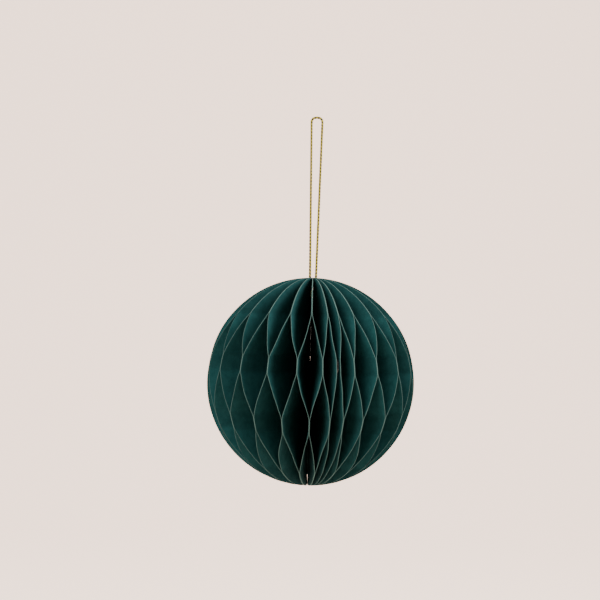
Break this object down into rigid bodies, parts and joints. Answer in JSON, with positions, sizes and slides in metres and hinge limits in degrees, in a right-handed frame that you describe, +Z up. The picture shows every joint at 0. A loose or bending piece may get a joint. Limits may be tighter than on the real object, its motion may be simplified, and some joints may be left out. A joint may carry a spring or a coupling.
{
  "type": "paper honeycomb ball",
  "caption": "Green paper honeycomb ball of glued half-disc leaves on a gold hanging loop, which opens from a flat fold into a sphere.",
  "frame": {"origin": "The hanging point, under the top of the loop", "axes": "+Z up along the ball's spine, -Y to the front and +X to the right; the closing seam stands a little right of the front"},
  "size_m": [0.1, 0.0999, 0.1777],
  "materials": {
    "paper": "matte dyed paper",
    "gold_cord": "twisted metallic thread",
    "binding_thread": "white cotton",
    "binding_glue": "soft glue stained by the paper's dye",
    "magnet": "plated disc"
  },
  "bodies": {
    "spine": {"upper_glue": "binding_glue", "middle_glue": "binding_glue", "lower_glue": "binding_glue", "spine_thread": "binding_thread", "loop_knot": "gold_cord"},
    "loop": {"hanging_loop": "gold_cord"},
    "right_cover": {"leaf_01": "paper", "cover_magnet_right": "magnet"},
    "fold_02": {"leaf_02": "paper"},
    "fold_03": {"leaf_03": "paper"},
    "fold_04": {"leaf_04": "paper"},
    "fold_05": {"leaf_05": "paper"},
    "fold_06": {"leaf_06": "paper"},
    "fold_07": {"leaf_07": "paper"},
    "fold_08": {"leaf_08": "paper"},
    "fold_09": {"leaf_09": "paper"},
    "fold_10": {"leaf_10": "paper"},
    "fold_11": {"leaf_11": "paper"},
    "fold_12": {"leaf_12": "paper"},
    "fold_13": {"leaf_13": "paper"},
    "fold_14": {"leaf_14": "paper"},
    "fold_15": {"leaf_15": "paper"},
    "fold_16": {"leaf_16": "paper"},
    "fold_17": {"leaf_17": "paper"},
    "fold_18": {"leaf_18": "paper"},
    "fold_19": {"leaf_19": "paper"},
    "fold_20": {"leaf_20": "paper"},
    "fold_21": {"leaf_21": "paper"},
    "fold_22": {"leaf_22": "paper"},
    "fold_23": {"leaf_23": "paper"},
    "fold_24": {"leaf_24": "paper"},
    "fold_25": {"leaf_25": "paper"},
    "fold_26": {"leaf_26": "paper"},
    "fold_27": {"leaf_27": "paper"},
    "fold_28": {"leaf_28": "paper"},
    "fold_29": {"leaf_29": "paper"},
    "fold_30": {"leaf_30": "paper"},
    "fold_31": {"leaf_31": "paper"},
    "fold_32": {"leaf_32": "paper"},
    "fold_33": {"leaf_33": "paper"},
    "fold_34": {"leaf_34": "paper"},
    "fold_35": {"leaf_35": "paper"},
    "fold_36": {"leaf_36": "paper"},
    "fold_37": {"leaf_37": "paper"},
    "fold_38": {"leaf_38": "paper"},
    "fold_39": {"leaf_39": "paper"},
    "fold_40": {"leaf_40": "paper"},
    "fold_41": {"leaf_41": "paper"},
    "fold_42": {"leaf_42": "paper"},
    "fold_43": {"leaf_43": "paper"},
    "left_cover": {"leaf_44": "paper", "cover_magnet_left": "magnet"}
  },
  "joints": [
    {"name": "spin", "type": "hinge", "parent": "spine", "child": "loop", "pos_m": [0, 0, -0.077], "axis": [0, 0, 1], "range_deg": [-180, 180]},
    {"name": "fold", "type": "hinge", "parent": "spine", "child": "right_cover", "pos_m": [0, 0, -0.127], "axis": [0, 0, 1], "range_deg": [0, 170], "deforming": ["leaf_01", "leaf_02", "leaf_03", "leaf_04", "leaf_05", "leaf_06", "leaf_07", "leaf_08", "leaf_09", "leaf_10", "leaf_11", "leaf_12", "leaf_13", "leaf_14", "leaf_15", "leaf_16", "leaf_17", "leaf_18", "leaf_19", "leaf_20", "leaf_21", "leaf_22", "leaf_23", "leaf_24", "leaf_25", "leaf_26", "leaf_27", "leaf_28", "leaf_29", "leaf_30", "leaf_31", "leaf_32", "leaf_33", "leaf_34", "leaf_35", "leaf_36", "leaf_37", "leaf_38", "leaf_39", "leaf_40", "leaf_41", "leaf_42", "leaf_43", "leaf_44"]},
    {"name": "turn_02", "type": "hinge", "parent": "spine", "child": "fold_02", "pos_m": [0, 0, -0.127], "axis": [0, 0, 1], "range_deg": [0, 165.59]},
    {"name": "turn_03", "type": "hinge", "parent": "spine", "child": "fold_03", "pos_m": [0, 0, -0.127], "axis": [0, 0, 1], "range_deg": [0, 160.11]},
    {"name": "turn_04", "type": "hinge", "parent": "spine", "child": "fold_04", "pos_m": [0, 0, -0.127], "axis": [0, 0, 1], "range_deg": [0, 153.44]},
    {"name": "turn_05", "type": "hinge", "parent": "spine", "child": "fold_05", "pos_m": [0, 0, -0.127], "axis": [0, 0, 1], "range_deg": [0, 146.02]},
    {"name": "turn_06", "type": "hinge", "parent": "spine", "child": "fold_06", "pos_m": [0, 0, -0.127], "axis": [0, 0, 1], "range_deg": [0, 138.13]},
    {"name": "turn_07", "type": "hinge", "parent": "spine", "child": "fold_07", "pos_m": [0, 0, -0.127], "axis": [0, 0, 1], "range_deg": [0, 129.97]},
    {"name": "turn_08", "type": "hinge", "parent": "spine", "child": "fold_08", "pos_m": [0, 0, -0.127], "axis": [0, 0, 1], "range_deg": [0, 121.64]},
    {"name": "turn_09", "type": "hinge", "parent": "spine", "child": "fold_09", "pos_m": [0, 0, -0.127], "axis": [0, 0, 1], "range_deg": [0, 113.21]},
    {"name": "turn_10", "type": "hinge", "parent": "spine", "child": "fold_10", "pos_m": [0, 0, -0.127], "axis": [0, 0, 1], "range_deg": [0, 104.74]},
    {"name": "turn_11", "type": "hinge", "parent": "spine", "child": "fold_11", "pos_m": [0, 0, -0.127], "axis": [0, 0, 1], "range_deg": [0, 96.27]},
    {"name": "turn_12", "type": "hinge", "parent": "spine", "child": "fold_12", "pos_m": [0, 0, -0.127], "axis": [0, 0, 1], "range_deg": [0, 87.8]},
    {"name": "turn_13", "type": "hinge", "parent": "spine", "child": "fold_13", "pos_m": [0, 0, -0.127], "axis": [0, 0, 1], "range_deg": [0, 79.35]},
    {"name": "turn_14", "type": "hinge", "parent": "spine", "child": "fold_14", "pos_m": [0, 0, -0.127], "axis": [0, 0, 1], "range_deg": [0, 70.93]},
    {"name": "turn_15", "type": "hinge", "parent": "spine", "child": "fold_15", "pos_m": [0, 0, -0.127], "axis": [0, 0, 1], "range_deg": [0, 62.55]},
    {"name": "turn_16", "type": "hinge", "parent": "spine", "child": "fold_16", "pos_m": [0, 0, -0.127], "axis": [0, 0, 1], "range_deg": [0, 54.19]},
    {"name": "turn_17", "type": "hinge", "parent": "spine", "child": "fold_17", "pos_m": [0, 0, -0.127], "axis": [0, 0, 1], "range_deg": [0, 45.87]},
    {"name": "turn_18", "type": "hinge", "parent": "spine", "child": "fold_18", "pos_m": [0, 0, -0.127], "axis": [0, 0, 1], "range_deg": [0, 37.58]},
    {"name": "turn_19", "type": "hinge", "parent": "spine", "child": "fold_19", "pos_m": [0, 0, -0.127], "axis": [0, 0, 1], "range_deg": [0, 29.31]},
    {"name": "turn_20", "type": "hinge", "parent": "spine", "child": "fold_20", "pos_m": [0, 0, -0.127], "axis": [0, 0, 1], "range_deg": [0, 21.06]},
    {"name": "turn_21", "type": "hinge", "parent": "spine", "child": "fold_21", "pos_m": [0, 0, -0.127], "axis": [0, 0, 1], "range_deg": [0, 12.83]},
    {"name": "turn_22", "type": "hinge", "parent": "spine", "child": "fold_22", "pos_m": [0, 0, -0.127], "axis": [0, 0, 1], "range_deg": [0, 4.61]},
    {"name": "turn_23", "type": "hinge", "parent": "spine", "child": "fold_23", "pos_m": [0, 0, -0.127], "axis": [0, 0, 1], "range_deg": [-4.87, 0]},
    {"name": "turn_24", "type": "hinge", "parent": "spine", "child": "fold_24", "pos_m": [0, 0, -0.127], "axis": [0, 0, 1], "range_deg": [-13.62, 0]},
    {"name": "turn_25", "type": "hinge", "parent": "spine", "child": "fold_25", "pos_m": [0, 0, -0.127], "axis": [0, 0, 1], "range_deg": [-22.36, 0]},
    {"name": "turn_26", "type": "hinge", "parent": "spine", "child": "fold_26", "pos_m": [0, 0, -0.127], "axis": [0, 0, 1], "range_deg": [-31.08, 0]},
    {"name": "turn_27", "type": "hinge", "parent": "spine", "child": "fold_27", "pos_m": [0, 0, -0.127], "axis": [0, 0, 1], "range_deg": [-39.78, 0]},
    {"name": "turn_28", "type": "hinge", "parent": "spine", "child": "fold_28", "pos_m": [0, 0, -0.127], "axis": [0, 0, 1], "range_deg": [-48.45, 0]},
    {"name": "turn_29", "type": "hinge", "parent": "spine", "child": "fold_29", "pos_m": [0, 0, -0.127], "axis": [0, 0, 1], "range_deg": [-57.08, 0]},
    {"name": "turn_30", "type": "hinge", "parent": "spine", "child": "fold_30", "pos_m": [0, 0, -0.127], "axis": [0, 0, 1], "range_deg": [-65.68, 0]},
    {"name": "turn_31", "type": "hinge", "parent": "spine", "child": "fold_31", "pos_m": [0, 0, -0.127], "axis": [0, 0, 1], "range_deg": [-74.24, 0]},
    {"name": "turn_32", "type": "hinge", "parent": "spine", "child": "fold_32", "pos_m": [0, 0, -0.127], "axis": [0, 0, 1], "range_deg": [-82.75, 0]},
    {"name": "turn_33", "type": "hinge", "parent": "spine", "child": "fold_33", "pos_m": [0, 0, -0.127], "axis": [0, 0, 1], "range_deg": [-91.2, 0]},
    {"name": "turn_34", "type": "hinge", "parent": "spine", "child": "fold_34", "pos_m": [0, 0, -0.127], "axis": [0, 0, 1], "range_deg": [-99.6, 0]},
    {"name": "turn_35", "type": "hinge", "parent": "spine", "child": "fold_35", "pos_m": [0, 0, -0.127], "axis": [0, 0, 1], "range_deg": [-107.92, 0]},
    {"name": "turn_36", "type": "hinge", "parent": "spine", "child": "fold_36", "pos_m": [0, 0, -0.127], "axis": [0, 0, 1], "range_deg": [-116.16, 0]},
    {"name": "turn_37", "type": "hinge", "parent": "spine", "child": "fold_37", "pos_m": [0, 0, -0.127], "axis": [0, 0, 1], "range_deg": [-124.29, 0]},
    {"name": "turn_38", "type": "hinge", "parent": "spine", "child": "fold_38", "pos_m": [0, 0, -0.127], "axis": [0, 0, 1], "range_deg": [-132.28, 0]},
    {"name": "turn_39", "type": "hinge", "parent": "spine", "child": "fold_39", "pos_m": [0, 0, -0.127], "axis": [0, 0, 1], "range_deg": [-140.05, 0]},
    {"name": "turn_40", "type": "hinge", "parent": "spine", "child": "fold_40", "pos_m": [0, 0, -0.127], "axis": [0, 0, 1], "range_deg": [-147.52, 0]},
    {"name": "turn_41", "type": "hinge", "parent": "spine", "child": "fold_41", "pos_m": [0, 0, -0.127], "axis": [0, 0, 1], "range_deg": [-154.52, 0]},
    {"name": "turn_42", "type": "hinge", "parent": "spine", "child": "fold_42", "pos_m": [0, 0, -0.127], "axis": [0, 0, 1], "range_deg": [-160.8, 0]},
    {"name": "turn_43", "type": "hinge", "parent": "spine", "child": "fold_43", "pos_m": [0, 0, -0.127], "axis": [0, 0, 1], "range_deg": [-165.95, 0]},
    {"name": "fold_left_cover", "type": "hinge", "parent": "spine", "child": "left_cover", "pos_m": [0, 0, -0.127], "axis": [0, 0, 1], "range_deg": [-170.5, 0]}
  ],
  "couplings": [
    {"joint": "turn_02", "follows": "fold", "ratio": 0.97112},
    {"joint": "turn_03", "follows": "fold", "ratio": 0.93887},
    {"joint": "turn_04", "follows": "fold", "ratio": 0.89963},
    {"joint": "turn_05", "follows": "fold", "ratio": 0.85599},
    {"joint": "turn_06", "follows": "fold", "ratio": 0.80962},
    {"joint": "turn_07", "follows": "fold", "ratio": 0.76159},
    {"joint": "turn_08", "follows": "fold", "ratio": 0.71257},
    {"joint": "turn_09", "follows": "fold", "ratio": 0.66301},
    {"joint": "turn_10", "follows": "fold", "ratio": 0.6132},
    {"joint": "turn_11", "follows": "fold", "ratio": 0.56333},
    {"joint": "turn_12", "follows": "fold", "ratio": 0.51352},
    {"joint": "turn_13", "follows": "fold", "ratio": 0.46382},
    {"joint": "turn_14", "follows": "fold", "ratio": 0.4143},
    {"joint": "turn_15", "follows": "fold", "ratio": 0.36497},
    {"joint": "turn_16", "follows": "fold", "ratio": 0.31583},
    {"joint": "turn_17", "follows": "fold", "ratio": 0.26687},
    {"joint": "turn_18", "follows": "fold", "ratio": 0.21809},
    {"joint": "turn_19", "follows": "fold", "ratio": 0.16946},
    {"joint": "turn_20", "follows": "fold", "ratio": 0.12095},
    {"joint": "turn_21", "follows": "fold", "ratio": 0.07253},
    {"joint": "turn_22", "follows": "fold", "ratio": 0.02417},
    {"joint": "turn_23", "follows": "fold", "ratio": -0.02573},
    {"joint": "turn_24", "follows": "fold", "ratio": -0.07718},
    {"joint": "turn_25", "follows": "fold", "ratio": -0.12857},
    {"joint": "turn_26", "follows": "fold", "ratio": -0.17987},
    {"joint": "turn_27", "follows": "fold", "ratio": -0.23104},
    {"joint": "turn_28", "follows": "fold", "ratio": -0.28204},
    {"joint": "turn_29", "follows": "fold", "ratio": -0.33284},
    {"joint": "turn_30", "follows": "fold", "ratio": -0.38343},
    {"joint": "turn_31", "follows": "fold", "ratio": -0.43375},
    {"joint": "turn_32", "follows": "fold", "ratio": -0.4838},
    {"joint": "turn_33", "follows": "fold", "ratio": -0.53354},
    {"joint": "turn_34", "follows": "fold", "ratio": -0.58292},
    {"joint": "turn_35", "follows": "fold", "ratio": -0.63189},
    {"joint": "turn_36", "follows": "fold", "ratio": -0.68036},
    {"joint": "turn_37", "follows": "fold", "ratio": -0.72819},
    {"joint": "turn_38", "follows": "fold", "ratio": -0.77515},
    {"joint": "turn_39", "follows": "fold", "ratio": -0.82089},
    {"joint": "turn_40", "follows": "fold", "ratio": -0.86482},
    {"joint": "turn_41", "follows": "fold", "ratio": -0.906},
    {"joint": "turn_42", "follows": "fold", "ratio": -0.94293},
    {"joint": "turn_43", "follows": "fold", "ratio": -0.97325},
    {"joint": "fold_left_cover", "follows": "fold", "ratio": -1}
  ]
}
